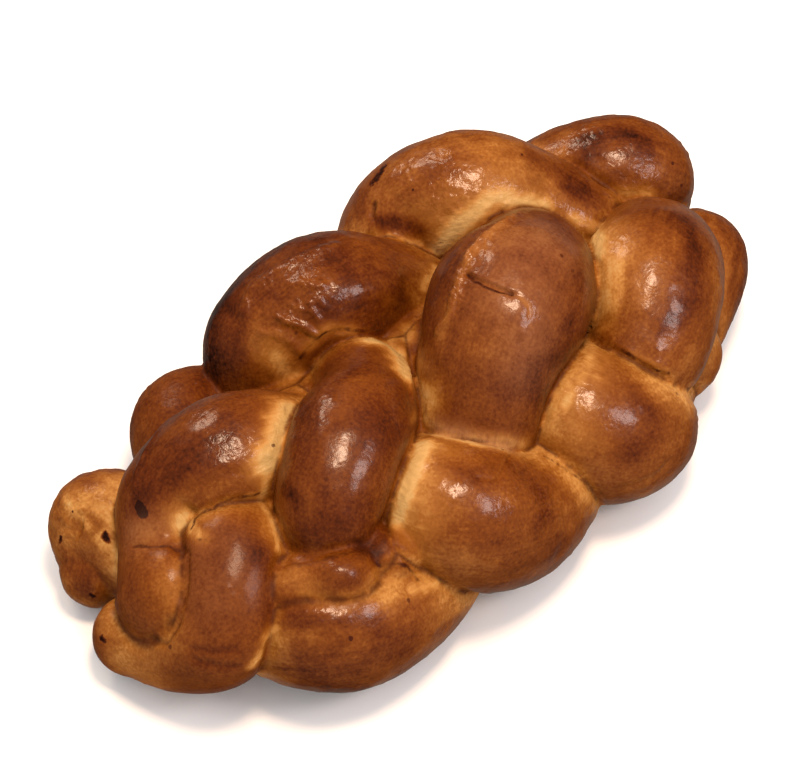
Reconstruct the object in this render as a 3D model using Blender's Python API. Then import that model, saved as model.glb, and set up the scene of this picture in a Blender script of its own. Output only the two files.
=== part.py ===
"""A braided sweet bread: four ropes of dough in a flat plait, baked into one loaf.

Blender's units are metres, +Z up. The loaf lies along X and rests on Z = 0, with its origin under the
middle of its box. Every size below is in millimetres, and MM turns it into metres.
"""
import math

import bmesh
import bpy
from mathutils import Vector

MM = 0.001

# The plait: how far one lobe is from the next on the same side, where the first row lies along the loaf,
# and how far the plait's middle line lies from the loaf's
ROW_PITCH = 75
FIRST_ROW_X = -94
PLAIT_Y = -4.6

# A lobe that lies on top: half its length along the rope, how far its ends dip, how much thinner they are
LOBE_REACH = 24
LOBE_DIP = 8
LOBE_TAPER = 4

# One turn of a rope through the plait, half a pitch a step: how far the step runs ahead of its row, its
# side of the plait, the height of the rope's middle, the rope's radius, and, where the rope lies on top,
# the heading of its lobe in degrees
STATIONS = {
    "left_over": (3, 54, 54, 29, -22),
    "centre_under": (18, 8, 24, 23, None),
    "right_over": (-18, -52, 41, 29, None),
    "right_turn": (-27, -57, 27, 27, None),
    "right_under": (-22, -44, 20, 21, None),
    "centre_over": (2, -12, 64, 29, 40),
    "left_under": (6, 46, 22, 23, None),
    "left_turn": (4, 60, 26, 26, None),
}
CYCLE = list(STATIONS)

# The station at which each rope meets the first row, and the steps that it takes through the loaf
ROPES = {
    "first": (0, range(0, 7)),
    "second": (2, range(0, 6)),
    "third": (4, range(1, 6)),
    "fourth": (6, range(-1, 7)),
}

# The loaf is plaited by hand. How far each step strays from the rule: along, across, up and in radius,
# then in degrees of heading and in the lobe's reach
AS_RULED = (0, 0, 0, 0, 0, 0)
UNEVEN = {
    ("first", 0): (-1, -40, 2, -2, 14, 0),
    ("first", 1): (-6, -8, 0, 0, 0, 0),
    ("first", 2): (-2, 0, 4, 0, 0, 0),
    ("first", 3): (-3, 0, 1, 1, 0, 0),
    ("first", 5): (-3, -12, -11, 1, 0, 0),
    ("first", 6): (-14, -22, -3, -4, 0, 0),
    ("second", 0): (12, 0, -10, -2, 0, 0),
    ("second", 1): (3, 0, -1, -1, 0, 0),
    ("second", 2): (4, -4, 0, 0, 0, 0),
    ("second", 3): (10, 4, 10, 3, -12, -2),
    ("second", 4): (29, 4, 0, 0, 0, 0),
    ("second", 5): (10, -2, -1, 0, 0, 0),
    ("third", 1): (-3, -3, 3, -5, -5, 5),
    ("third", 2): (5, 13, 0, 0, 0, 0),
    ("third", 4): (9, 4, 3, 0, -10, 0),
    ("fourth", -1): (14, -5, -21, -4, 0, 0),
    ("fourth", 0): (-3, -20, 1, 0, 0, 0),
    ("fourth", 1): (-24, 1, 0, -4, 0, 0),
    ("fourth", 2): (1, -2, 2, 1, 10, 0),
    ("fourth", 3): (3, 16, 0, 0, 0, 0),
    ("fourth", 4): (-2, 3, -4, 2, 0, 0),
    ("fourth", 5): (-13, 0, 1, 0, 0, 0),
    ("fourth", 6): (-34, -1, -2, -3, 0, 0),
}

# Where the fourth rope is pinched between its low turn and the next lobe: x, y, z and radius
PINCHES = {("fourth", 1): (-55, 54, 28, 17)}

# How each rope is tucked in before its first step and after its last: x, y, z and radius
STARTS = {
    "first": ((-142, -15, 25, 19), (-137, -8, 36, 23), (-130, 6, 41, 18)),
    "second": ((-144, 34, 14, 14), (-131, 45, 22, 22), (-127, 20, 22, 20), (-120, -16, 20, 18)),
    "third": ((-128, -15, 24, 14), (-106, -42, 45, 15), (-91, -52, 49, 15), (-86, -40, 42, 14)),
    "fourth": ((-152, -1, 16, 16), (-142, -19, 24, 21)),
}
FINISHES = {
    "first": ((133, 38, 20, 14),),
    "second": ((137, 40, 40, 25), (144, 34, 38, 23), (150, 33, 24, 18)),
    "third": ((97, -41, 24, 16), (94, -42, 20, 14)),
    "fourth": ((137, -9, 26, 21), (142, 0, 22, 18)),
}

# The dough that the plait closes over, and the sole on which it sagged flat: middle and half sizes
HEART = ((-5, -2, 28), (130, 60, 36))
SOLE = ((-3, 3, 6), (144, 60, 24))

# The split in the crust of the highest lobe: where its floor runs, and the wedge that opens it
SPLIT_FLOOR = ((10, 3, 104), (14, -9, 100.5), (18, -22, 100.5), (23, -34, 102))
SPLIT_RISE = 10
SPLIT_HALF_WIDTH = 4

# How finely the ropes are drawn, how finely they are fused, and the share of facets kept in the crust
ROPE_STEP = 4
ROPE_SIDES = 8
CAP_RINGS = 6
PILLOW_CUTS = 4
SKIN_CELL = 2
SKIN_PASSES = 4
KEPT_FACETS = 0.108

# The board that the loaf was baked on
BOARD_SIDE = 1000
BOARD_DEPTH = 40


def placed(x, y, z, radius=0):
    """A place of the plait in metres, with the rope's radius beside it."""
    return Vector((x, y + PLAIT_Y, z, radius)) * MM


def step_places(rope, entry, step):
    """The places of one step: three along a lobe on top, one where the rope dives or turns."""
    ahead, across, up, radius, heading = STATIONS[CYCLE[(entry + step) % len(CYCLE)]]
    more_ahead, more_across, more_up, fatter, turned, longer = UNEVEN.get((rope, step), AS_RULED)
    x = FIRST_ROW_X + step * ROW_PITCH / 2 + ahead + more_ahead
    y = across + more_across
    z = up + more_up
    r = radius + fatter
    if heading is None:
        return [placed(x, y, z, r)]
    angle = math.radians(heading + turned)
    dx = (LOBE_REACH + longer) * math.cos(angle)
    dy = (LOBE_REACH + longer) * math.sin(angle)
    end = (z - LOBE_DIP, r - LOBE_TAPER)
    return [placed(x - dx, y - dy, *end), placed(x, y, z, r), placed(x + dx, y + dy, *end)]


def rope_places(rope):
    """Where a rope's middle goes, end to end, with its radius at each place."""
    entry, steps = ROPES[rope]
    places = [placed(*place) for place in STARTS[rope]]
    for step in steps:
        places += step_places(rope, entry, step)
        if (rope, step) in PINCHES:
            places.append(placed(*PINCHES[rope, step]))
    return places + [placed(*place) for place in FINISHES[rope]]


def smooth_path(places, spacing):
    """A centripetal curve through the places, read about every spacing; the radius runs along with it."""
    points = [2 * places[0] - places[1]] + places + [2 * places[-1] - places[-2]]
    path = []
    for p0, p1, p2, p3 in zip(points, points[1:], points[2:], points[3:]):
        t0 = 0.0
        t1 = t0 + math.sqrt((p1 - p0).length)
        t2 = t1 + math.sqrt((p2 - p1).length)
        t3 = t2 + math.sqrt((p3 - p2).length)
        count = max(2, round((p2 - p1).length / spacing))
        for i in range(count):
            t = t1 + (t2 - t1) * i / count
            a1 = p0.lerp(p1, (t - t0) / (t1 - t0))
            a2 = p1.lerp(p2, (t - t1) / (t2 - t1))
            a3 = p2.lerp(p3, (t - t2) / (t3 - t2))
            b1 = a1.lerp(a2, (t - t0) / (t2 - t0))
            b2 = a2.lerp(a3, (t - t1) / (t3 - t1))
            path.append(b1.lerp(b2, (t - t1) / (t2 - t1)))
    path.append(places[-1])
    return path


def end_rings(tip, inner):
    """Places that close an end of a rope as a half ball, from the tip outwards."""
    outward = (tip.xyz - inner.xyz).normalized()
    rings = []
    for i in range(1, CAP_RINGS + 1):
        angle = math.pi / 2 * i / (CAP_RINGS + 0.5)
        middle = tip.xyz + outward * tip.w * math.sin(angle)
        rings.append(Vector((*middle, tip.w * math.cos(angle))))
    return rings


def rope_mesh(rope):
    """A rope of dough: a curve with a round section whose size follows the path."""
    path = smooth_path(rope_places(rope), ROPE_STEP * MM)
    path = end_rings(path[0], path[1])[::-1] + path + end_rings(path[-1], path[-2])
    curve = bpy.data.curves.new(f"{rope}_rope", "CURVE")
    curve.dimensions = "3D"
    curve.bevel_depth = MM
    curve.bevel_resolution = ROPE_SIDES
    curve.use_fill_caps = True
    spline = curve.splines.new("POLY")
    spline.points.add(len(path) - 1)
    for point, place in zip(spline.points, path):
        point.co = (*place.xyz, 1.0)
        point.radius = place.w / MM
    holder = bpy.data.objects.new(curve.name, curve)
    mesh = bpy.data.meshes.new_from_object(holder)
    bpy.data.objects.remove(holder)
    bpy.data.curves.remove(curve)
    return mesh


def add_pillow(bm, middle, half):
    """A flattened ball of dough inside the loaf."""
    made = bmesh.ops.create_icosphere(bm, subdivisions=PILLOW_CUTS, radius=1.0)
    bmesh.ops.scale(bm, vec=Vector(half) * MM, verts=made["verts"])
    bmesh.ops.translate(bm, vec=placed(*middle).xyz, verts=made["verts"])


def add_object(name, bm):
    """An object of this name in the scene, made from the mesh that is being edited."""
    mesh = bpy.data.meshes.new(name)
    bm.to_mesh(mesh)
    bm.free()
    piece = bpy.data.objects.new(name, mesh)
    bpy.context.scene.collection.objects.link(piece)
    return piece


def add_cutter(name, bm):
    """An object that only cuts another."""
    cutter = add_object(name, bm)
    cutter.hide_render = True
    cutter.display_type = "WIRE"
    return cutter


def board():
    """What the loaf was baked flat against: it cuts the crust off at Z = 0."""
    bm = bmesh.new()
    bmesh.ops.create_cube(bm, size=MM)
    bmesh.ops.scale(bm, vec=(BOARD_SIDE, BOARD_SIDE, BOARD_DEPTH), verts=bm.verts)
    bmesh.ops.translate(bm, vec=(0, 0, -BOARD_DEPTH / 2 * MM), verts=bm.verts)
    return add_cutter("board", bm)


def split():
    """A wedge along the split in the crust, sharp edge down."""
    floor = [placed(*place).xyz for place in SPLIT_FLOOR]
    along = (floor[-1] - floor[0]).normalized()
    aside = along.cross(Vector((0, 0, 1))).normalized() * SPLIT_HALF_WIDTH * MM
    rise = Vector((0, 0, SPLIT_RISE * MM))
    bm = bmesh.new()
    rings = [[bm.verts.new(p) for p in (low, low + rise + aside, low + rise - aside)] for low in floor]
    for ring, following in zip(rings, rings[1:]):
        for i in range(3):
            bm.faces.new((ring[i], ring[i - 1], following[i - 1], following[i]))
    bm.faces.new(rings[0])
    bm.faces.new(rings[-1])
    bmesh.ops.recalc_face_normals(bm, faces=bm.faces)
    bmesh.ops.triangulate(bm, faces=bm.faces)
    return add_cutter("split", bm)


def crust():
    """Egg-washed crust, red-brown and glossy."""
    material = bpy.data.materials.new("crust")
    material.use_nodes = True
    shader = material.node_tree.nodes["Principled BSDF"]
    shader.inputs["Base Color"].default_value = (0.25, 0.08, 0.02, 1.0)
    shader.inputs["Roughness"].default_value = 0.38
    shader.inputs["Metallic"].default_value = 0.0
    return material


def loaf():
    """The four ropes and the dough under them, risen and baked together as one body."""
    bm = bmesh.new()
    for rope in ROPES:
        mesh = rope_mesh(rope)
        bm.from_mesh(mesh)
        bpy.data.meshes.remove(mesh)
    for pillow in (HEART, SOLE):
        add_pillow(bm, *pillow)
    piece = add_object("loaf", bm)
    piece.data.materials.append(crust())
    fuse = piece.modifiers.new("fuse", "REMESH")
    fuse.mode = "VOXEL"
    fuse.voxel_size = SKIN_CELL * MM
    soften = piece.modifiers.new("soften", "SMOOTH")
    soften.iterations = SKIN_PASSES
    facet = piece.modifiers.new("facet", "DECIMATE")
    facet.ratio = KEPT_FACETS
    for cutter in (board(), split()):
        cut = piece.modifiers.new(cutter.name, "BOOLEAN")
        cut.operation = "DIFFERENCE"
        cut.object = cutter
    return piece


def main():
    for thing in list(bpy.data.objects):
        bpy.data.objects.remove(thing)
    loaf()


if __name__ == "__main__":
    main()
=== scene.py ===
# %% [markdown]
# # A braided sweet bread
#
# The real object is one loaf: four ropes of enriched dough, plaited by hand, brushed with egg and baked
# until they fuse. Its looks come from three things: fat lobes that press on each other, a glossy crust that
# is darkest where the oven reached it best, and the pale dough that the rise stretched bare between lobes.
# This script makes them in that order, round the measured solid that the frame holds.

# %% Load the measured solid
import math

import bmesh
import bpy
import numpy as np
from mathutils import Matrix, Vector, kdtree


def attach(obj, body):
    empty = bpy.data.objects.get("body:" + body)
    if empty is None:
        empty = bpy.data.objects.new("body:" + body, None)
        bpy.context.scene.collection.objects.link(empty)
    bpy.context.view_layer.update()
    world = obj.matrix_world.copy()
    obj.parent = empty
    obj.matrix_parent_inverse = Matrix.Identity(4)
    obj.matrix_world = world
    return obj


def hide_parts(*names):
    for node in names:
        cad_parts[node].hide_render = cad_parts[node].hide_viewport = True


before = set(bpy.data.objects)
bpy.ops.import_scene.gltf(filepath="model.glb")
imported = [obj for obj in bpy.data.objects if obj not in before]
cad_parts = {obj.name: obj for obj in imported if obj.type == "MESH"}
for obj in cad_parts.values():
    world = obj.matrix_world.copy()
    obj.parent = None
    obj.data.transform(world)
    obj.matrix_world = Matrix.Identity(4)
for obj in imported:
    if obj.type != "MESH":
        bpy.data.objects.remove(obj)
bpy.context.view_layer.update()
MM = 0.001

# %% [markdown]
# ## The camera
#
# The photograph looks down on the loaf at 50 degrees, with the near end at the lower left. A long lens from
# 1.2 m keeps the far lobes nearly as large as the near ones. The lens shift only moves the loaf in the frame.

# %% Place the camera
PHOTO_SIZE = (800, 777)
PHOTO_CENTRE = (406, 417)
LENS_PIXELS = 3067
CAMERA_AZIMUTH = math.radians(-41)
CAMERA_ELEVATION = math.radians(50)
CAMERA_DISTANCE = 1.2
LOOKED_AT = Vector((-0.017, -0.0066, 0.040))


def direction(azimuth, elevation):
    """The unit vector towards something seen at this azimuth and elevation from the loaf."""
    level = math.cos(elevation)
    return Vector((math.sin(azimuth) * level, -math.cos(azimuth) * level, math.sin(elevation)))


def stand_back(thing, aim, azimuth, elevation, distance):
    """Puts a camera or a lamp this far from what it aims at."""
    back = direction(azimuth, elevation)
    right = Vector((math.cos(azimuth), math.sin(azimuth), 0))
    turned = Matrix((right, back.cross(right), back)).transposed().to_4x4()
    thing.matrix_world = Matrix.Translation(aim + back * distance) @ turned
    bpy.context.scene.collection.objects.link(thing)


lens = bpy.data.cameras.new("camera")
lens.sensor_fit = "HORIZONTAL"
lens.lens = LENS_PIXELS / PHOTO_SIZE[0] * lens.sensor_width
lens.shift_x = 0.5 - PHOTO_CENTRE[0] / PHOTO_SIZE[0]
lens.shift_y = (PHOTO_CENTRE[1] - PHOTO_SIZE[1] / 2) / PHOTO_SIZE[0]
camera = bpy.data.objects.new("camera", lens)
stand_back(camera, LOOKED_AT, CAMERA_AZIMUTH, CAMERA_ELEVATION, CAMERA_DISTANCE)
bpy.context.scene.camera = camera
print("lens", round(lens.lens, 1), "mm")

# %% [markdown]
# ## The plait's rule
#
# In a four-strand plait every rope makes the same turn through the loaf: over the left side, under the
# middle, over the right side, round the edge and back. So one turn is written once, as eight stations half
# a pitch apart, and each rope joins it two stations after the one before. A hand-plaited loaf is uneven, so
# a second table says how far each lobe strays. The solid was made by the same rule, which keeps the two in
# one place. All these sizes are in millimetres.

# %% Stations of the plait
ROW_PITCH = 75
FIRST_ROW_X = -94
PLAIT_Y = -4.6
LOBE_REACH = 24
LOBE_DIP = 8
LOBE_TAPER = 4

# ahead of its row, side, height of the rope's middle, radius; heading in degrees where it lies on top
STATIONS = {
    "left_over": (3, 54, 54, 29, -22),
    "centre_under": (18, 8, 24, 23, None),
    "right_over": (-18, -52, 41, 29, None),
    "right_turn": (-27, -57, 27, 27, None),
    "right_under": (-22, -44, 20, 21, None),
    "centre_over": (2, -12, 64, 29, 40),
    "left_under": (6, 46, 22, 23, None),
    "left_turn": (4, 60, 26, 26, None),
}
CYCLE = list(STATIONS)

# the station where a rope meets the first row, and its steps through the loaf
ROPES = {
    "first": (0, range(0, 7)),
    "second": (2, range(0, 6)),
    "third": (4, range(1, 6)),
    "fourth": (6, range(-1, 7)),
}

# how far a step strays: along, across, up and in radius, then degrees of heading and the lobe's reach
AS_RULED = (0, 0, 0, 0, 0, 0)
UNEVEN = {
    ("first", 0): (-1, -40, 2, -2, 14, 0),
    ("first", 1): (-6, -8, 0, 0, 0, 0),
    ("first", 2): (-2, 0, 4, 0, 0, 0),
    ("first", 3): (-3, 0, 1, 1, 0, 0),
    ("first", 5): (-3, -12, -11, 1, 0, 0),
    ("first", 6): (-14, -22, -3, -4, 0, 0),
    ("second", 0): (12, 0, -10, -2, 0, 0),
    ("second", 1): (3, 0, -1, -1, 0, 0),
    ("second", 2): (4, -4, 0, 0, 0, 0),
    ("second", 3): (10, 4, 10, 3, -12, -2),
    ("second", 4): (29, 4, 0, 0, 0, 0),
    ("second", 5): (10, -2, -1, 0, 0, 0),
    ("third", 1): (-3, -3, 3, -5, -5, 5),
    ("third", 2): (5, 13, 0, 0, 0, 0),
    ("third", 4): (9, 4, 3, 0, -10, 0),
    ("fourth", -1): (14, -5, -21, -4, 0, 0),
    ("fourth", 0): (-3, -20, 1, 0, 0, 0),
    ("fourth", 1): (-24, 1, 0, -4, 0, 0),
    ("fourth", 2): (1, -2, 2, 1, 10, 0),
    ("fourth", 3): (3, 16, 0, 0, 0, 0),
    ("fourth", 4): (-2, 3, -4, 2, 0, 0),
    ("fourth", 5): (-13, 0, 1, 0, 0, 0),
    ("fourth", 6): (-34, -1, -2, -3, 0, 0),
}
PINCHES = {("fourth", 1): (-55, 54, 28, 17)}

# how each rope is tucked in before its first step and after its last: x, y, z and radius
STARTS = {
    "first": ((-142, -15, 25, 19), (-137, -8, 36, 23), (-130, 6, 41, 18)),
    "second": ((-144, 34, 14, 14), (-131, 45, 22, 22), (-127, 20, 22, 20), (-120, -16, 20, 18)),
    "third": ((-128, -15, 24, 14), (-106, -42, 45, 15), (-91, -52, 49, 15), (-86, -40, 42, 14)),
    "fourth": ((-152, -1, 16, 16), (-142, -19, 24, 21)),
}
FINISHES = {
    "first": ((133, 38, 20, 14),),
    "second": ((137, 40, 40, 25), (144, 34, 38, 23), (150, 33, 24, 18)),
    "third": ((97, -41, 24, 16), (94, -42, 20, 14)),
    "fourth": ((137, -9, 26, 21), (142, 0, 22, 18)),
}
print(len(ROPES), "ropes,", sum(len(steps) for _, steps in ROPES.values()), "steps")

# %% [markdown]
# ## From stations to paths
#
# A centripetal curve goes through every station without the loops that an ordinary smooth curve makes where
# two of them lie close together. The radius rides along as a fourth coordinate. Each end is closed with a
# few rings that shrink like the end of a ball.

# %% Paths of the ropes
PATH_STEP = 1.5
CAP_RINGS = 10


def placed(x, y, z, radius=0):
    """A place of the plait in metres, with the rope's radius beside it."""
    return Vector((x, y + PLAIT_Y, z, radius)) * MM


def step_places(rope, entry, step):
    """The places of one step: three along a lobe on top, one where the rope dives or turns."""
    ahead, across, up, radius, heading = STATIONS[CYCLE[(entry + step) % len(CYCLE)]]
    more_ahead, more_across, more_up, fatter, turned, longer = UNEVEN.get((rope, step), AS_RULED)
    x = FIRST_ROW_X + step * ROW_PITCH / 2 + ahead + more_ahead
    y = across + more_across
    z = up + more_up
    r = radius + fatter
    if heading is None:
        return [placed(x, y, z, r)]
    angle = math.radians(heading + turned)
    dx = (LOBE_REACH + longer) * math.cos(angle)
    dy = (LOBE_REACH + longer) * math.sin(angle)
    end = (z - LOBE_DIP, r - LOBE_TAPER)
    return [placed(x - dx, y - dy, *end), placed(x, y, z, r), placed(x + dx, y + dy, *end)]


def smooth_path(places, spacing):
    """A centripetal curve through the places, and the number of the point that falls on each of them."""
    points = [2 * places[0] - places[1]] + places + [2 * places[-1] - places[-2]]
    path, marks = [], []
    for p0, p1, p2, p3 in zip(points, points[1:], points[2:], points[3:]):
        marks.append(len(path))
        t0 = 0.0
        t1 = t0 + math.sqrt((p1 - p0).length)
        t2 = t1 + math.sqrt((p2 - p1).length)
        t3 = t2 + math.sqrt((p3 - p2).length)
        count = max(2, round((p2 - p1).length / spacing))
        for i in range(count):
            t = t1 + (t2 - t1) * i / count
            a1 = p0.lerp(p1, (t - t0) / (t1 - t0))
            a2 = p1.lerp(p2, (t - t1) / (t2 - t1))
            a3 = p2.lerp(p3, (t - t2) / (t3 - t2))
            b1 = a1.lerp(a2, (t - t0) / (t2 - t0))
            b2 = a2.lerp(a3, (t - t1) / (t3 - t1))
            path.append(b1.lerp(b2, (t - t1) / (t2 - t1)))
    marks.append(len(path))
    path.append(places[-1])
    return path, marks


def end_rings(tip, inner):
    """Places that close an end of a rope as a half ball, from the tip outwards."""
    outward = (tip.xyz - inner.xyz).normalized()
    rings = []
    for i in range(1, CAP_RINGS + 1):
        angle = math.pi / 2 * i / (CAP_RINGS + 0.5)
        middle = tip.xyz + outward * tip.w * math.sin(angle)
        rings.append(Vector((*middle, tip.w * math.cos(angle))))
    return rings


paths = {}
stops = {}
for rope, (entry, steps) in ROPES.items():
    places = [placed(*place) for place in STARTS[rope]]
    middles = [0]
    for step in steps:
        new = step_places(rope, entry, step)
        middles.append(len(places) + len(new) // 2)
        places += new
        if (rope, step) in PINCHES:
            places.append(placed(*PINCHES[rope, step]))
    places += [placed(*place) for place in FINISHES[rope]]
    middles.append(len(places) - 1)
    paths[rope], marks = smooth_path(places, PATH_STEP * MM)
    stops[rope] = [marks[number] for number in middles]
    print(rope, "rope:", len(paths[rope]), "points")

# %% [markdown]
# ## Small helpers for node trees
#
# Geometry and materials below are both node trees. Three helpers keep them short to write: one adds a node
# and feeds its sockets, one does sums, and one gives a modifier its tree and its named sizes. A modifier's
# input is set by the socket's identifier, because a name may be used twice.

# %% Node helpers
def add(tree, kind, feeds=(), **settings):
    """A node whose settings are made and whose sockets are fed with values or with other sockets."""
    node = tree.nodes.new(kind)
    for name, value in settings.items():
        setattr(node, name, value)
    for socket, feed in dict(feeds).items():
        if isinstance(feed, bpy.types.NodeSocket):
            tree.links.new(feed, node.inputs[socket])
        else:
            node.inputs[socket].default_value = feed
    return node


def sums(tree, operation, *values, clamp=False):
    """The result of one sum on numbers or sockets."""
    node = add(tree, "ShaderNodeMath", enumerate(values), operation=operation, use_clamp=clamp)
    return node.outputs[0]


def new_tree(name, **sizes):
    """A geometry tree with a mesh going in and out, and named inputs for its sizes."""
    tree = bpy.data.node_groups.new(name, "GeometryNodeTree")
    tree.interface.new_socket("Geometry", in_out="INPUT", socket_type="NodeSocketGeometry")
    tree.interface.new_socket("Geometry", in_out="OUTPUT", socket_type="NodeSocketGeometry")
    for size, kind in sizes.items():
        tree.interface.new_socket(size, in_out="INPUT", socket_type=f"NodeSocket{kind}")
    start = tree.nodes.new("NodeGroupInput")
    return tree, {socket.name: socket for socket in start.outputs if socket.name}


def end_tree(tree, geometry, material):
    """Ends a geometry tree with real geometry in its material."""
    real = add(tree, "GeometryNodeRealizeInstances", {"Geometry": geometry})
    dressed = add(tree, "GeometryNodeSetMaterial", {"Geometry": real.outputs[0], "Material": material})
    add(tree, "NodeGroupOutput", {"Geometry": dressed.outputs[0]})


def run_tree(thing, tree, **sizes):
    """Puts a tree on an object and sets its named inputs."""
    modifier = thing.modifiers.new(tree.name, "NODES")
    modifier.node_group = tree
    for socket in tree.interface.items_tree:
        if socket.in_out == "INPUT" and socket.name in sizes:
            modifier[socket.identifier] = sizes[socket.name]
    return modifier


def baked(thing):
    """The object's shape with its modifiers worked out, as a plain mesh."""
    bpy.context.view_layer.update()
    graph = bpy.context.evaluated_depsgraph_get()
    return bpy.data.meshes.new_from_object(thing.evaluated_get(graph), depsgraph=graph)


def put(name, data):
    """An object of this name in the scene."""
    thing = bpy.data.objects.new(name, data)
    bpy.context.scene.collection.objects.link(thing)
    return thing


crust = bpy.data.materials.new("crust")

# %% [markdown]
# ## Rolling the ropes
#
# A rope of dough is a round section that follows a path and swells and thins along it. That is what Curve to
# Mesh does, so each path becomes a spline with a radius at every point and one small tree sweeps them all.

# %% Sweep the four ropes
ROPE_SIDES = 64

sweep, size = new_tree("ropes_of_dough", Sides="Int", Material="Material")
ring = add(sweep, "GeometryNodeCurvePrimitiveCircle", {"Resolution": size["Sides"], "Radius": 1.0})
radius = add(sweep, "GeometryNodeInputRadius")
swept = add(sweep, "GeometryNodeCurveToMesh", {
    "Curve": size["Geometry"],
    "Profile Curve": ring.outputs[0],
    "Scale": radius.outputs[0],
    "Fill Caps": True,
})
end_tree(sweep, swept.outputs[0], size["Material"])

rolled = bpy.data.curves.new("rolled_ropes", "CURVE")
rolled.dimensions = "3D"
for path in paths.values():
    capped = end_rings(path[0], path[1])[::-1] + path + end_rings(path[-1], path[-2])
    spline = rolled.splines.new("POLY")
    spline.points.add(len(capped) - 1)
    for point, place in zip(spline.points, capped):
        point.co = (*place.xyz, 1.0)
        point.radius = place.w
ropes = put("ropes", rolled)
run_tree(ropes, sweep, Sides=ROPE_SIDES, Material=crust)
rope_mesh = baked(ropes)
bpy.data.objects.remove(ropes)
print("ropes:", len(rope_mesh.vertices), "points")

# %% [markdown]
# ## The dough between the ropes
#
# Where lobes part, the rise pulls a web of soft dough tight between them, and the middle of the loaf closes
# up solid. Each such pat is a ball stretched to its half sizes: a list of places, and a tree that stands a
# ball on every one.

# %% Pats of dough
# middle and half sizes in mm: what the plait closes over, the sole it sagged on, then the webs that show
PATS = {
    "heart": ((-5, -2, 28), (130, 60, 36)),
    "sole": ((-3, 3, 6), (144, 60, 24)),
    "between the first two lobes": ((-78, -2, 66), (15, 12, 9)),
    "below the highest lobe": ((-14, -42, 52), (22, 14, 11)),
    "head of the long lobe": ((-8, -6, 56), (10, 13, 9)),
    "between the tail and the near end": ((-126, -8, 48), (14, 10, 13)),
    "roll under the last far lobe": ((30, 60, 58), (12, 7, 6)),
    "near side, below the long lobe": ((-72, -54, 46), (17, 13, 15)),
    "where three lobes meet": ((-1, 14, 54), (9, 9, 9)),
    "between the tail and the near end, lower": ((-142, -22, 46), (9, 10, 8)),
}
PAT_CUTS = 5

pat_tree, size = new_tree("pats_of_dough", Cuts="Int", Material="Material")
ball = add(pat_tree, "GeometryNodeMeshIcoSphere", {"Radius": 1.0, "Subdivisions": size["Cuts"]})
half = add(pat_tree, "GeometryNodeInputNamedAttribute", {"Name": "half"}, data_type="FLOAT_VECTOR")
stood = add(pat_tree, "GeometryNodeInstanceOnPoints", {
    "Points": size["Geometry"],
    "Instance": ball.outputs[0],
    "Scale": half.outputs[0],
})
end_tree(pat_tree, stood.outputs[0], size["Material"])

spots = bpy.data.meshes.new("spots")
spots.from_pydata([placed(*middle).xyz for middle, _ in PATS.values()], [], [])
halves = spots.attributes.new("half", "FLOAT_VECTOR", "POINT")
for number, (_, half_sizes) in enumerate(PATS.values()):
    halves.data[number].vector = Vector(half_sizes) * MM
pats = put("pats", spots)
run_tree(pats, pat_tree, Cuts=PAT_CUTS, Material=crust)
pat_mesh = baked(pats)
bpy.data.objects.remove(pats)
print(len(PATS), "pats of dough")

# %% [markdown]
# ## Baking them into one body
#
# Dough fuses where it touches. Voxel remeshing does the same: it keeps only the outer skin of everything
# that overlaps, in small even faces. A light smoothing rounds the steps that it leaves, and whatever went
# below the tray is pressed flat onto it.

# %% Fuse into one skin
SKIN_CELL = 0.9
SKIN_PASSES = 7

dough = bmesh.new()
for mesh in (rope_mesh, pat_mesh):
    dough.from_mesh(mesh)
    bpy.data.meshes.remove(mesh)
skin = bpy.data.meshes.new("skin")
dough.to_mesh(skin)
dough.free()
loaf = put("braided_loaf", skin)
fuse = loaf.modifiers.new("fuse", "REMESH")
fuse.mode = "VOXEL"
fuse.voxel_size = SKIN_CELL * MM
soften = loaf.modifiers.new("soften", "SMOOTH")
soften.iterations = SKIN_PASSES
fused = baked(loaf)
loaf.modifiers.clear()
loaf.data = fused


def read_points(mesh, what):
    """Positions or normals of a mesh's points as an array."""
    values = np.empty(len(mesh.vertices) * 3, np.float32)
    mesh.vertices.foreach_get(what, values)
    return values.reshape(-1, 3)


skin_points = read_points(fused, "co")
skin_points[:, 2] = np.maximum(skin_points[:, 2], 0)
fused.vertices.foreach_set("co", skin_points.ravel())
fused.update()
print("skin:", len(fused.vertices), "points,", len(fused.polygons), "faces")

# %% [markdown]
# ## What lies under the skin
#
# To paint and press the crust like a baker's hand, every point has to know its rope: which one it belongs
# to, how far along and round it lies, and how near the next rope is. The gap to the next rope is nought on a
# crease and grows away from it. The distances are taken to all the paths at once, a slab of points at a time.

# %% Find the rope under every point
SLAB = 8192
OWN_REACH = 60

path_all = np.array([place for path in paths.values() for place in path], np.float32)
path_rope = np.concatenate([np.full(len(path), n) for n, path in enumerate(paths.values())])
middle, girth = path_all[:, :3], path_all[:, 3]
ahead = np.gradient(middle, axis=0)
for n in range(len(paths)):
    own = path_rope == n
    ahead[own] = np.gradient(middle[own], axis=0)
stride = np.linalg.norm(ahead, axis=1, keepdims=True)
ahead /= stride
travelled = np.concatenate([np.cumsum(stride[path_rope == n]) for n in range(len(paths))])
same = (path_rope[:, None] == path_rope) & (abs(travelled[:, None] - travelled) < OWN_REACH * MM)

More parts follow.
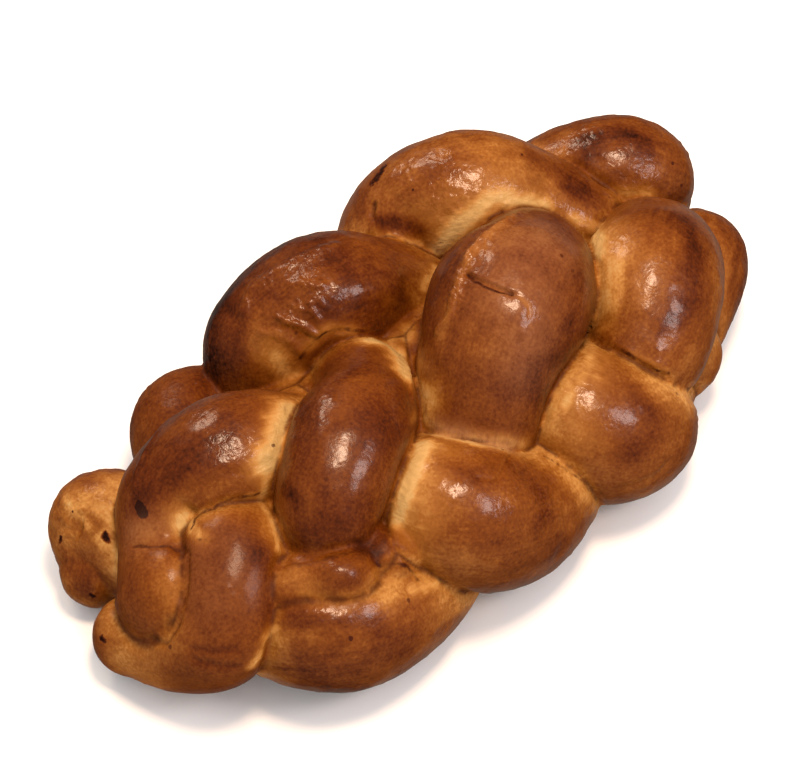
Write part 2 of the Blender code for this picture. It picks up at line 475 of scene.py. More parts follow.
nearest, gap, neighbour = [], [], []
for first in range(0, len(skin_points), SLAB):
    slab = skin_points[first:first + SLAB]
    squares = (slab ** 2).sum(1)[:, None] + (middle ** 2).sum(1) - 2 * slab @ middle.T
    away = np.sqrt(np.maximum(squares, 0)) - girth
    own = away.argmin(1)
    depth = away.min(1)
    away[same[own]] = np.inf
    nearest.append(own)
    gap.append(away.min(1) - depth)
    neighbour.append(away.argmin(1))
nearest, gap, neighbour = (np.concatenate(parts) for parts in (nearest, gap, neighbour))
offset = skin_points - middle[nearest]
level = np.cross(ahead[nearest], (0, 0, 1))
level /= np.linalg.norm(level, axis=1, keepdims=True)
along = travelled[nearest] + (offset * ahead[nearest]).sum(1)
sideways = (offset * level).sum(1)
upwards = (offset * np.cross(level, ahead[nearest])).sum(1)
around = np.arctan2(sideways, upwards) * girth[nearest]
rise = middle[neighbour, 2] - middle[nearest, 2]
print("gap to the next rope, mm:", np.percentile(gap / MM, (5, 25, 50, 75, 95)).round(1))


def ease(value, low, high):
    """A smooth step from 0 at low to 1 at high; low may be the larger."""
    t = np.clip((value - low) / (high - low), 0, 1)
    return t * t * (3 - 2 * t)


under = ease(rise, -8 * MM, 10 * MM)

# %% [markdown]
# ## How brown each lobe is
#
# The oven browns what stands out: the tops of the high lobes are red-brown, while the low ones at the edge
# stay orange. So each rope carries a shade at every step, from 0 for bare dough to 1 for nearly burnt, and
# the shade blends from one step to the next.

# %% Shade along the ropes
# start, each step, finish
BROWNED = {
    "first": (0.70, 0.74, 0.6, 0.64, 0.6, 0.6, 0.58, 0.7, 0.66),
    "second": (0.53, 0.68, 0.62, 0.62, 0.76, 0.7, 0.66, 0.66),
    "third": (0.55, 0.78, 0.6, 0.66, 0.54, 0.72, 0.6),
    "fourth": (0.68, 0.70, 0.64, 0.70, 0.76, 0.6, 0.58, 0.6, 0.66, 0.70),
}
# how mottled it is there: 1 is usual, less is more even
LIVELY = {
    "first": (0.4, 1.2, 1, 1.1, 1, 1, 1.1, 1.1, 1),
    "second": (1.6, 1.2, 1, 1, 1.2, 1, 1.4, 1.5),
    "third": (1.0, 0.8, 1, 1, 1.4, 1, 1),
    "fourth": (0.5, 0.5, 1, 1.1, 1.3, 1, 0.9, 1, 1, 1.1),
}
# how glossy it is there: 1 where the egg wash lies thick
GLOSSY = {
    "first": (0.25, 0.9, 1, 1, 1, 1, 1, 1, 1),
    "second": (0.5, 1, 1, 1, 0.9, 1, 1, 1),
    "third": (0.8, 1, 1, 1, 1, 1, 1),
    "fourth": (0.2, 0.25, 0.4, 0.12, 1, 1, 1, 1, 0.8, 0.5),
}


def along_ropes(table):
    """A table's number under every point of the skin, blended from one step of its rope to the next."""
    steps = [np.interp(np.arange(len(paths[rope])), stops[rope], table[rope]) for rope in ROPES]
    return np.concatenate(steps)[nearest]


shade = along_ropes(BROWNED)
lively = along_ropes(LIVELY)
glossy = along_ropes(GLOSSY)
print("shade:", np.percentile(shade, (5, 50, 95)).round(2))

# %% [markdown]
# ## Webs, browned patches, grey and sheen, folds, cracks, painted crease shade and scorches
#
# These are one-offs that the photo shows, so each is a short line laid on the crust with a half width, as an
# airbrush or a modelling tool would follow it. A web is pale dough that the egg never reached. A browned
# patch is darker than its lobe, or paler where the number is below nought. A grey-and-sheen line lays a
# greyish brown over the crust, which on the highest lobe is painted sheen. A fold presses or raises the
# skin, a crumple wrinkles it, a dark line shows a crack, and a scorch is where the crust caught; where a dark
# line runs along a crease or seam, or into the hole under the long lobe, it is painted shade. Where a line
# names a rope, only that rope takes it, so the colour stops at the crease. Every line is first moved onto the
# nearest points of the skin.

# %% Lines laid on the crust
# the rope or None, line in mm, half width, how pale
WEBS = {
    "end of the first lobe": ("first", ((-65, 3, 75), (-74, -3, 76), (-81, -8, 75), (-88, -10, 74)), 9, 1.28),
    "beside the end of the first lobe": ("third", ((-72, -1, 77), (-79, -7, 77), (-85, -12, 74)), 3, 0.6),
    "between the long lobe and the near end": (
        None, ((-87, -11, 74), (-93, -14, 69), (-99, -24, 63), (-105, -36, 60)), 3, 0.9),
    "head of the long lobe": ("third", ((-18, 13, 69), (-13, 9, 66), (-13, 4, 66), (-18, -4, 70), (-23, -12, 73)), 7.5, 1.1),
    "below the highest lobe": ("first", ((-27, -32, 61), (-26, -41, 66), (-20, -51, 67), (-10, -57, 61)), 4, 0.85),
    "hem of the highest lobe": ("second", ((-25, -26, 64), (-25, -35, 64), (-21, -43, 66), (-17, -49, 65), (-9, -55, 62), (-1, -58, 56)), 4.5, 0.72),
    "lip over the last near lobe": ("first", ((58, -54, 63), (60, -58, 62), (63, -63, 59), (67, -66, 56)), 1.2, 0.5),
    "corner of the long lobe": ("third", ((-29, -27, 70), (-35, -31, 73)), 3, 0.5),
    "foot of the highest lobe": ("second", ((-8, -58, 61), (0, -60, 58)), 3.5, 0.6),
    "near side, beside the long lobe": ("first", ((-36, -38, 70), (-42, -44, 71), (-50, -49, 71), (-58, -53, 67), (-64, -55, 63)), 5.5, 0.95),
    "near side, further from the long lobe": ("first", ((-34, -42, 71), (-42, -50, 71), (-52, -57, 68), (-60, -62, 62)), 12, 0.42),
    "far side, behind the highest lobe": (
        "third", ((41, 40, 57), (44, 38, 65), (51, 35, 72), (60, 33, 77), (68, 31, 76), (77, 26, 70), (83, 23, 66)), 6, 0.92),
    "far side, further behind": ("third", ((42, 44, 70), (52, 41, 77), (62, 40, 80), (72, 35, 77)), 11, 0.36),
    "last far lobe": ("third", ((93, 18, 58), (99, 10, 55)), 5, 0.8),
    "last middle lobe": ("first", ((100, 8, 57), (88, -3, 68), (80, -12, 74), (76, -16, 75)), 5, 0.85),
    "further along the last middle lobe": ("first", ((98, 2, 65), (90, -8, 73), (83, -18, 77)), 10, 0.3),
    "foot of the last tail": ("second", ((113, 21, 58), (123, 17, 51), (132, 12, 49)), 5, 0.55),
    "near side, under the last lobe": ("fourth", ((56, -57, 61), (61, -62, 58), (67, -68, 53)), 2.5, 0.75),
    "beside the highest lobe": ("fourth", ((53, -38, 59), (41, -48, 67), (30, -54, 67), (20, -57, 64)), 4, 0.62),
    "further beside the highest lobe": ("fourth", ((50, -44, 65), (39, -54, 68), (28, -61, 66), (20, -66, 60)), 11, 0.36),
    "under the near lobe": ("second", ((-75, -75, 46), (-66, -75, 42), (-60, -77, 41)), 4, 0.75),
    "foot of the near end": (None, ((-124, -57, 47), (-130, -57, 43), (-136, -58, 37)), 3, 0.75),
    "near end, beside the first lobe": (
        None, ((-119, -7, 63), (-113, -9, 65), (-105, -13, 67), (-97, -16, 66)), 2.2, 0.65),
    "head of the near end": ("fourth", ((-121, -4, 62), (-124, -10, 64), (-126, -18, 66)), 4, 0.8),
    "corner of the tail": ("first", ((-121, -2, 62), (-125, -3, 61), (-128, -9, 61)), 4, 0.9),
    "where three lobes meet": (None, ((1, 14, 62), (-3, 9, 63), (-7, 12, 62)), 5, 0.7),
    "inside the far arch": ("fourth", ((-49, 35, 66), (-48, 32, 62), (-46, 28, 56)), 8, 0.75),
    "head of the far arch": ("fourth", ((-38, 28, 68), (-30, 26, 73), (-20, 21, 70)), 4, 0.6),
    "end of the far arch": ("fourth", ((31, 31, 60), (24, 25, 65), (17, 19, 69)), 4, 0.85),
    "rim of the tucked start": ("third", ((-111, -55, 58), (-104, -65, 58), (-95, -69, 58), (-86, -67, 58)), 2, 0.35),
    "crease of the tail": (None, ((-140, -25, 57), (-145, -29, 53), (-150, -32, 48), (-157, -30, 40)), 1.3, 0.45),
    "edge of the tail": ("first", ((-155, -4, 48), (-158, -14, 44)), 1, 0.3),
    "hook of the split": ("second", ((20, -28, 101), (21, -33, 99), (19, -36, 97)), 1.1, 0.6),
    "lip of the split": ("second", ((13, -12, 102), (15, -19, 102), (17, -24, 102)), 1.2, 0.35),
    "lip of the roll": (None, ((27, 56, 64), (31, 50, 62), (36, 46, 59)), 1.2, 0.9),
    "lip of the tear": ("first", ((-15, -62, 66), (-24, -68, 69), (-33, -68, 72)), 1.2, 0.3),
}
# the rope or None, line in mm, half width, how much browner
BROWNER = {
    "end of the last far lobe": ("third", ((92, 38, 75), (99, 30, 69), (104, 22, 64), (107, 15, 58)), 8, 0.26),
    "outer side of the far arch": ("fourth", ((-64, 54, 50), (-60, 62, 58), (-52, 68, 64), (-40, 71, 69), (-22, 70, 72)), 9, 0.2),
    "middle of the far arch": ("fourth", ((-53, 42, 70), (-44, 41, 76), (-35, 38, 80)), 9, -0.14),
    "tip of the first lobe": ("first", ((-130, 15, 64), (-121, 25, 68), (-111, 30, 70)), 5, 0.1),
    "lower facet of the first lobe": ("first", ((-124, 1, 67), (-115, -4, 70), (-104, -9, 73), (-93, -12, 74)), 6, -0.13),
    "above that facet": ("first", ((-130, 10, 64), (-122, 8, 70), (-113, 4, 74), (-100, 1, 77)), 5, 0.07),
    "tail beside the first lobe": ("first", ((-139, 3, 57), (-134, 0, 59), (-127, -2, 60)), 7, -0.2),
    "tip of the tail": ("first", ((-150, -22, 46), (-156, -22, 41)), 7, -0.05),
    "point of the first lobe": ("first", ((-132, 14, 63), (-133, 9, 62)), 3.5, 0.1),
    "end of the long lobe": ("third", ((-99, -44, 68), (-93, -46, 70), (-87, -48, 70)), 6, 0.12),
    "roll under the last far lobe": (None, ((28, 63, 65), (31, 58, 66), (35, 53, 66), (39, 48, 65)), 3, 0.32),
    "middle of the last far lobe": ("third", ((76, 48, 85), (84, 40, 80), (93, 31, 72)), 12, -0.12),
    "near side of the highest lobe": ("second", ((28, -47, 82), (14, -51, 78), (3, -49, 79)), 12, 0.12),
    # paler here as painted sheen: the soft reflection of the lamps on the back of the highest lobe
    "back of the highest lobe": ("second", ((48, -8, 102), (32, -12, 105), (18, -30, 100), (4, -36, 92)), 17, -0.17),
    "ridge of the highest lobe": ("second", ((50, 7, 96), (34, 1, 103), (17, -3, 102), (5, -10, 96), (-6, -14, 86)), 2.6, -0.22),
        "foot of the highest lobe": ("second", ((-14, -10, 70), (-18, -19, 71), (-21, -26, 70)), 6, -0.32),
    "spot on that foot": ("second", ((-15, -14, 72), (-16, -20, 74)), 2.2, 0.3),
    "top of the last tail": ("second", ((127, 48, 61), (132, 43, 64), (139, 36, 65)), 5, 0.14),
    "crease of the last tail": ("second", ((117, 38, 59), (121, 40, 61), (125, 40, 63)), 5, 0.24),
    "last tail, by the last far lobe": ("second", ((104, 42, 52), (112, 33, 56), (120, 26, 60)), 8, 0.1),
    "last near tail": ("fourth", ((142, -24, 44), (138, -33, 39), (127, -39, 37)), 16, 0.12),
    "side of the last tail": ("second", ((137, 24, 63), (143, 14, 54)), 8, 0.08),
    "foot of the last tail": ("second", ((112, 21, 59), (132, 12, 50)), 9, -0.1),
        "below the long lobe": (None, ((-77, -59, 58), (-70, -62, 59), (-62, -64, 58)), 8, 0.1),
    # painted shadow: darker round the hole under the long lobe
    "hole under the long lobe": (None, ((-82, -57, 61), (-79, -62, 57)), 3, 0.16),
    "pale middle of the tucked end": ("second", ((-147, 38, 40), (-150, 30, 34)), 12, -0.1),
    "edge of the last middle lobe": ("first", ((109, -26, 78), (108, -34, 79), (101, -45, 77), (91, -53, 73), (80, -57, 70)), 9, 0.24),
    "streaks on the last middle lobe": ("first", ((84, -10, 76), (80, -26, 79), (76, -40, 77)), 11, -0.15),
    "dent in the last middle lobe": ("first", ((77, -55, 71), (73, -56, 69), (69, -57, 67)), 1.6, 0.16),
    "top of the near lobe": ("first", ((-41, -52, 74), (-37, -58, 74), (-35, -66, 72)), 3.5, 0.16),
    "crackled side of the near lobe": ("first", ((-17, -68, 66), (-13, -75, 60), (-13, -82, 54), (-21, -86, 52)), 5, 0.13),
    "outer side of the last near lobe": ("fourth", ((43, -70, 63), (46, -76, 59), (45, -81, 54), (39, -84, 50), (31, -83, 49)), 4, 0.13),
    "inner side of the last near lobe": ("fourth", ((21, -52, 64), (17, -59, 61), (16, -66, 57)), 8, -0.12),
    "side of the near lobe": ("first", ((-11, -89, 26), (-33, -90, 35)), 12, 0.08),
    "left side of the near lobe": ("first", ((-42, -46, 72), (-54, -56, 69), (-64, -66, 60), (-66, -76, 50)), 15, -0.15),
    "side of the nearest lobe": ("second", ((-90, -87, 35), (-116, -78, 31)), 12, 0.14),
    "below the tucked start": ("second", ((-116, -56, 54), (-111, -67, 53), (-104, -73, 53), (-97, -76, 52)), 6, 0.26),
    "nearest lobe": ("second", ((-82, -96, 30), (-96, -90, 30)), 16, -0.06),
    "shelf of the tucked start": ("third", ((-110, -48, 60), (-107, -55, 60)), 7, -0.2),
    "dome of the tucked start": ("third", ((-98, -62, 66), (-94, -64, 65)), 5, 0.06),
    "near end beside the nearest lobe": ("fourth", ((-114, -38, 63), (-117, -44, 59), (-121, -49, 55)), 6, 0.26),
    "wrinkle of the near end": ("fourth", ((-153, -45, 42), (-148, -51, 41), (-142, -56, 39)), 1.6, 0.14),
    "second wrinkle of the near end": ("fourth", ((-152, -42, 45), (-148, -48, 46), (-140, -53, 46)), 1.6, 0.12),
    "middle of the last near lobe": ("fourth", ((33, -74, 60), (36, -82, 53)), 12, 0.08),
    "side of the long lobe": ("third", ((-57, -18, 91), (-49, -14, 90), (-42, -16, 87)), 8, -0.14),
    "spots on the long lobe": ("third", ((-92, -24, 74), (-93, -32, 76)), 2.5, 0.2),
    "streak on the tucked end": ("second", ((-142, 49, 39), (-143, 41, 40), (-143, 32, 39)), 2, -0.26),
    "second streak on the tucked end": ("second", ((-136, 48, 41), (-138, 40, 43)), 1.6, -0.2),
    "low part of the tucked end": ("second", ((-152, 30, 24), (-153, 18, 20)), 6, 0.16),
}
# the rope or None, line in mm, half width, how strongly a greyish brown is laid over: on the top and side of the
# highest lobe it is painted sheen, elsewhere a greyer crust
GREY_AND_SHEEN = {
    "back of the highest lobe": ("second", ((52, -12, 100), (34, -16, 104), (20, -28, 101)), 16, 0.3),
    "top of the tail": ("first", ((-138, 6, 56), (-134, 0, 60)), 7, 0.25),
    "near end": ("fourth", ((-128, -22, 66), (-140, -38, 58)), 14, 0.14),
    "side of the highest lobe": ("second", ((17, -38, 96), (8, -45, 86)), 12, 0.28),
    "crease under the highest lobe": (None, ((-25, -34, 65), (-21, -44, 66), (-16, -51, 65), (-8, -57, 61)), 3.6, 0.6),
}
# the rope or None, line in mm, half width, how far it is raised
FOLDS = {
    "split": ("second", ((13, -7, 102), (14, -14, 102), (16, -20, 102), (19, -26, 102)), 0.8, -1.6),
    "hook of the split": ("second", ((19, -26, 102), (21, -30, 100), (21, -33, 99), (19, -36, 97)), 0.8, -0.4),
    "edge over the last near lobe": ("first", ((54, -47, 64), (57, -54, 63), (60, -60, 61), (65, -65, 58)), 2.2, 0.5),
    "lip of the split": ("second", ((12, -10, 102), (14, -17, 102), (16, -23, 102)), 1.4, 0.4),
    "near side of the highest lobe": ("second", ((16, -34, 97), (10, -38, 93)), 13, 2.2),
    "near side of the far arch": ("fourth", ((-24, 36, 82), (-6, 29, 79), (4, 27, 74)), 9, 2.4),
    "dome of the tucked start": ("third", ((-98, -62, 66), (-94, -64, 65)), 6.5, 2.2),
    "long ridge": ("second", ((58, 12, 90), (46, 6, 100), (35, 3, 103), (25, 1, 103), (18, -1, 102)), 2.0, 1.7),
    "ridge down the side": ("second", ((10, -6, 99), (4, -10, 95), (0, -13, 92), (-5, -12, 86)), 2.0, 1.4),
    "under the end of the long lobe": (None, ((-107, -43, 60), (-100, -49, 62), (-94, -52, 64), (-86, -55, 64), (-81, -56, 62)), 1.6, -0.6),
    "seam over the tail": (None, ((-143, 4, 54), (-139, -2, 57), (-134, -8, 58), (-132, -16, 62)), 1.2, -0.7),
    "crease of the tail": (None, ((-133, -17, 61), (-140, -25, 57), (-145, -29, 53), (-150, -32, 48), (-156, -31, 41), (-158, -25, 38)), 1.3, -1.2),
    "first wrinkle": ("fourth", ((-42, 40, 77), (-37, 34, 75), (-33, 28, 72)), 1.5, 1.5),
    "second wrinkle": ("fourth", ((-30, 36, 80), (-30, 32, 77), (-31, 27, 73)), 1.2, 1.1),
    "third wrinkle": ("fourth", ((-49, 42, 72), (-43, 35, 71), (-41, 28, 66)), 1.8, 0.7),
    "fourth wrinkle": ("fourth", ((-30, 45, 84), (-25, 40, 83), (-22, 37, 82)), 1.6, 0.8),
    "ridge of the far arch": ("fourth", ((-48, 54, 74), (-42, 57, 77), (-36, 56, 81), (-26, 54, 85), (-16, 51, 87), (-5, 49, 86)), 2.6, 1.2),
    "flank of the first lobe": ("first", ((-115, 2, 74), (-109, -1, 76), (-103, -4, 77), (-94, -7, 77), (-86, -9, 75)), 3, 0.5),
    "rim of the first lobe": ("first", ((-131, 18, 64), (-121, 25, 68), (-111, 30, 70), (-98, 34, 68)), 1.5, 0.6),
    "pleat of the near end": ("fourth", ((-153, -45, 42), (-148, -51, 41), (-142, -56, 39)), 1.6, -0.5),
    "second pleat": ("fourth", ((-152, -42, 45), (-148, -48, 46), (-140, -53, 46)), 1.6, -0.5),
    "low seam": (None, ((46, -92, 38), (41, -91, 35), (34, -89, 35), (27, -86, 35)), 2, -0.6),
    "tear": ("first", ((-9, -58, 61), (-15, -63, 65), (-20, -66, 68), (-27, -70, 69), (-34, -67, 72)), 0.9, -0.5),
    "fold of the last far lobe": ("third", ((31, 69, 68), (29, 67, 66), (28, 65, 65)), 1.2, -1.2),
    "shelf of the tucked start": ("third", ((-110, -47, 60), (-107, -54, 60)), 7, -1.0),
    "crest of the long lobe": ("third", ((-58, -2, 91), (-66, -12, 92), (-74, -26, 88)), 4, 0.5),
    "edge of the long lobe's web": ("third", ((-7, 6, 63), (-18, -9, 70), (-23, -16, 73), (-28, -23, 74)), 1.3, 0.8),
}
# the rope or None, line in mm, half width, how strongly the skin is wrinkled
CRUMPLES = {
    "wrinkles of the far arch": ("fourth", ((-38, 38, 78), (-26, 38, 83)), 9, 0.9),
    "ridge of the highest lobe": ("second", ((50, 7, 96), (34, 1, 103), (17, -3, 102), (5, -10, 96)), 5, 1.0),
    "tucked end": ("second", ((-151, 40, 35), (-143, 46, 38), (-137, 36, 43)), 8, 0.9),
    "ridge of the far arch": ("fourth", ((-44, 55, 76), (-21, 51, 85), (-7, 47, 85)), 4, 0.8),
    "middle of the far arch": ("fourth", ((-51, 44, 70), (-44, 43, 76)), 7, 0.6),
    "last far lobe": ("third", ((60, 55, 85), (53, 50, 82), (47, 46, 77)), 7, 0.7),
    "end of the last far lobe": ("third", ((46, 69, 77), (43, 60, 77)), 6, 0.5),
    "web behind the highest lobe": ("third", ((44, 40, 69), (59, 37, 79), (79, 28, 72)), 7, 0.5),
    "last middle lobe": ("first", ((85, -4, 70), (83, -15, 77)), 8, 0.7),
    "side of the near lobe": ("first", ((-18, -70, 65), (-14, -77, 59), (-12, -83, 51)), 9, 0.7),
    "near lobe beside the long one": ("first", ((-40, -44, 71), (-55, -53, 68)), 6, 0.5),
    "last tail": ("second", ((127, 48, 61), (132, 43, 64)), 7, 0.5),
    "nearest lobe": ("second", ((-112, -70, 52), (-103, -77, 50)), 6, 0.25),
    "head of the near end": ("fourth", ((-121, -4, 62), (-126, -18, 66)), 5, 0.5),
    "head of the long lobe": ("third", ((-21, 10, 72), (-10, 6, 63)), 6, 0.6),
    "crease of the near end": (None, ((-119, -7, 63), (-108, -11, 67), (-97, -15, 66)), 4, 0.5),
}
# the rope or None, line in mm, half width, how dark; along creases and seams and in the hole under the long lobe the
# dark line is painted shade, on the split, the tear and the scratches it is dark crust
CRACKS_AND_CREASE_SHADE = {
    "split": ("second", ((13, -7, 101), (13, -14, 102), (15, -21, 102), (19, -26, 102)), 0.6, 1.3),
    "seam over the tail": (None, ((-143, 4, 54), (-139, -2, 57), (-134, -8, 58), (-132, -16, 62)), 0.5, 0.8),
    "crease of the tail": (None, ((-140, -25, 57), (-145, -29, 53), (-150, -32, 48), (-156, -31, 41), (-158, -25, 38)), 0.5, 0.7),
    "tear": ("first", ((-9, -58, 61), (-15, -63, 65), (-20, -66, 68), (-27, -70, 69), (-34, -67, 72)), 0.4, 0.4),
    "under the last lobe": (None, ((56, -50, 63), (57, -55, 62), (59, -59, 61), (61, -62, 59), (63, -65, 57), (66, -67, 55)), 0.7, 1.0),
    "foot of the highest lobe": (None, ((4, -63, 52), (7, -68, 49), (10, -72, 44), (14, -76, 39), (17, -78, 33)), 0.6, 0.9),
    "fold of the last far lobe": ("third", ((31, 69, 68), (29, 67, 66), (28, 65, 65)), 0.9, 1.0),
    "head of the far arch": ("fourth", ((-41, 28, 64), (-36, 27, 69), (-30, 26, 72), (-25, 24, 72), (-20, 21, 70), (-15, 19, 67)), 0.6, 0.9),
    "near end, beside the first lobe": (None, ((-125, -10, 63), (-119, -7, 63), (-114, -9, 65), (-108, -11, 67), (-97, -15, 66)), 0.6, 0.9),
    "under the end of the long lobe": (None, ((-106, -44, 60), (-104, -48, 62), (-100, -51, 63), (-95, -55, 64), (-89, -57, 64), (-82, -57, 61)), 0.9, 0.6),
    "scratch on the near end": ("fourth", ((-127, -16, 65), (-125, -21, 66)), 0.5, 0.6),
    "scratch on the near lobe": ("first", ((-47, -85, 52), (-42, -88, 48), (-37, -90, 42)), 0.5, 0.4),
    # painted shadow: the dark inside the hole under the long lobe
    "hole under the long lobe": (None, ((-79, -61, 57), (-80, -64, 56)), 1.5, 1.2),
    "beside the hole": (None, ((-84, -54, 65), (-81, -56, 61), (-80, -60, 58)), 0.8, 1.0),
    "below the long lobe": (None, ((-79, -63, 56), (-75, -67, 55), (-72, -70, 54), (-70, -73, 52), (-68, -75, 49)), 0.8, 1.0),
    "top of the roll": ("third", ((29, 64, 66), (32, 59, 67), (36, 54, 67), (40, 48, 64)), 0.5, 0.6),
}
# line in mm, half width, how burnt
SCORCHES = {
    "far arch": (((38, 77, 69), (41, 77, 71), (45, 79, 72)), 3.2, 0.95),
    "far arch, small": (((51, 73, 78), (54, 74, 78)), 1.6, 0.6),
    "first lobe": (((-132, 12, 62), (-133, 9, 61)), 2.2, 1.9),
    "tucked end": (((-141, 25, 39), (-141, 23, 38)), 2, 1.0),
    "tucked end, low": (((-153, 21, 17), (-153, 19, 17)), 1.8, 1.0),
    "tucked end, outside": (((-151, 41, 30), (-151, 41, 28)), 1.6, 1.0),
    "tip of the near end": (((-165, -3, 24), (-165, -5, 24)), 2, 1.0),
}

# line in mm, half width, how smooth and matte the dough stays there
MATTE = {
    "below the long lobe": (((-81, -58, 60), (-77, -60, 58), (-70, -62, 58), (-62, -64, 58)), 9, 1.0),
    "under the end of the long lobe": (
        ((-106, -44, 60), (-104, -48, 62), (-100, -51, 63), (-95, -55, 64), (-89, -57, 64), (-82, -57, 61)), 3, 1.0),
    "roll under the last far lobe": (((28, 61, 64), (31, 56, 65), (35, 51, 65), (38, 47, 64)), 5, 1.0),
    "where three lobes meet": (((1, 14, 62), (-2, 8, 63), (-4, 9, 63), (1, 0, 68)), 7, 0.9),
    "seam over the tail": (((-140, 4, 54), (-134, -8, 58), (-130, -12, 61)), 4, 0.8),
    "behind the first lobe": (((-66, 61, 45), (-66, 52, 45), (-65, 48, 44)), 5, 1.0),
}


def widths_away(line, width):
    """How many half widths each point lies from the line, drawn smoothly and moved onto the skin."""
    through, _ = smooth_path([Vector(point) * MM for point in line], STROKE_STEP * MM)
    knots = np.array([ground.find(point)[0] for point in through])
    reach = FAR_AWAY * width * MM
    close = ((skin_points > knots.min(0) - reach) & (skin_points < knots.max(0) + reach)).all(1)
    points = skin_points[close]
    best = np.full(len(points), reach)
    for a, b in zip(knots, knots[1:]):
        run = b - a
        t = np.clip((points - a) @ run / max(run @ run, 1e-12), 0, 1)
        best = np.minimum(best, np.linalg.norm(points - a - t[:, None] * run, axis=1))
    away = np.full(len(skin_points), FAR_AWAY)
    away[close] = best / (width * MM)
    return away


WEB_STEEP = 1.6
WEB_CRUMPLE = 0.6
STROKE_STEP = 2.5
FAR_AWAY = 5.0
ground = kdtree.KDTree(len(skin_points))
for number, point in enumerate(skin_points):
    ground.insert(point, number)
ground.balance()
owner = path_rope[nearest]


def stroke(rope, line, width, steep=2.0):
    """How strongly a stroke along the line is felt at each point, at most 1."""
    away = widths_away(line, width)
    return np.exp(-away ** steep) * (1 if rope is None else owner == list(ROPES).index(rope))


web, burnt, raised, dark, crumpled, matte, grey_and_sheen = np.zeros((7, len(skin_points)))
dark_line_away = np.full(len(skin_points), FAR_AWAY)
for rope, line, width, paleness in WEBS.values():
    web = np.maximum(web, paleness * stroke(rope, line, width, WEB_STEEP))
for rope, line, width, browner in BROWNER.values():
    shade = shade + browner * stroke(rope, line, width)
for rope, line, width, how in GREY_AND_SHEEN.values():
    grey_and_sheen = np.maximum(grey_and_sheen, how * stroke(rope, line, width))
for line, width, how in SCORCHES.values():
    burnt = np.maximum(burnt, how * stroke(None, line, width))
for rope, line, width, height in FOLDS.values():
    raised += height * MM * stroke(rope, line, width)
for rope, line, width, how in CRUMPLES.values():
    crumpled = np.maximum(crumpled, how * stroke(rope, line, width))
for line, width, how in MATTE.values():
    matte = np.maximum(matte, how * stroke(None, line, width))
glossy = glossy * (1 - matte)
crumpled = np.maximum(crumpled, WEB_CRUMPLE * np.minimum(web, 1))
# dark lines: cracks, and painted shade where a line runs along a crease or a seam
for _, line, width, darkness in CRACKS_AND_CREASE_SHADE.values():
    away = widths_away(line, width)
    dark = np.where(away < dark_line_away, darkness, dark)
    dark_line_away = np.minimum(dark_line_away, away)
skin_points += read_points(fused, "normal") * raised[:, None]
fused.vertices.foreach_set("co", skin_points.astype(np.float32).ravel())
fused.update()
print(len(WEBS), "webs,", len(BROWNER), "patches,", len(FOLDS), "folds,", len(CRUMPLES), "crumples,",
      len(CRACKS_AND_CREASE_SHADE), "cracks,", len(SCORCHES), "scorches")

# %% [markdown]
# ## Hand the facts to the mesh
#
# Attributes carry these facts on the mesh itself, so the relief tree and the material can both read them.
# Those that jump from one rope to the next are blurred first, or the creases would show saw teeth.

# %% Store attributes
BLUR_PASSES = 3
HOLLOW_PASSES = 14
UNDER_PASSES = 30
edge_ends = np.empty(len(fused.edges) * 2, np.int32)
fused.edges.foreach_get("vertices", edge_ends)
one_end, other_end = edge_ends.reshape(-1, 2).T


def blurred(values, passes=BLUR_PASSES, ends=(one_end, other_end)):
    """Numbers of the skin's points, each averaged a few times with its neighbours' along these edges."""
    here, there = ends
    meeting = np.bincount(np.concatenate(ends), minlength=len(values))
    for _ in range(passes):
        around_it = np.bincount(here, values[there], len(values))
        around_it += np.bincount(there, values[here], len(values))
        values = (values + around_it) / (1 + meeting)
    return values


def store(mesh, name, values):
    """A number for each point of the mesh, or three."""
    kind = "FLOAT" if values.ndim == 1 else "FLOAT_VECTOR"
    attribute = mesh.attributes.new(name, kind, "POINT")
    attribute.data.foreach_set("value" if kind == "FLOAT" else "vector", values.astype(np.float32).ravel())


within = owner[one_end] == owner[other_end]
under = blurred(under, UNDER_PASSES, (one_end[within], other_end[within]))
evened = np.stack([blurred(values, HOLLOW_PASSES) for values in skin_points.T], 1)
hollow = ((evened - skin_points) * read_points(fused, "normal")).sum(1)
print("hollows, mm:", np.percentile(hollow / MM, (5, 50, 95, 99)).round(2))
store(fused, "hollow", hollow)
store(fused, "gap", gap)
store(fused, "dark_line_away", dark_line_away)
store(fused, "dark", dark)
store(fused, "burnt", burnt)
for name, values in (("under", under), ("web", web), ("crumpled", crumpled), ("shade", shade),
                     ("lively", lively), ("glossy", glossy), ("matte", matte), ("grey_and_sheen", grey_and_sheen)):
    store(fused, name, blurred(values))
store(fused, "sole", ease(skin_points[:, 2], 1.0 * MM, 0.1 * MM))
store(fused, "grain", np.stack((along, around, nearest * 0.0), 1))

# %% [markdown]
# ## Relief of the crust
#
# Dough is never even. The relief tree adds what repeats all over: soft lumps and dents, blisters that rose
# under the egg wash, wrinkles where the skin crumpled, fine stretch marks where a rope dives under another,
# and a narrow groove along each crease. A wrinkle runs wherever a noise crosses its middle value. The tree
# moves points along their normals and reads the stored facts to know where each effect belongs.

# %% Relief tree
relief, size = new_tree(
    "relief_of_the_crust", **{"Lump height": "Float", "Dent height": "Float", "Blister height": "Float",
                              "Wrinkle height": "Float", "Groove depth": "Float", "Groove width": "Float",
                              "Stretch height": "Float", "Seed": "Float"},
    Material="Material")


def fact(tree, name, kind="FLOAT"):
    """A stored fact, in a geometry tree."""
    return add(tree, "GeometryNodeInputNamedAttribute", {"Name": name}, data_type=kind).outputs[0]


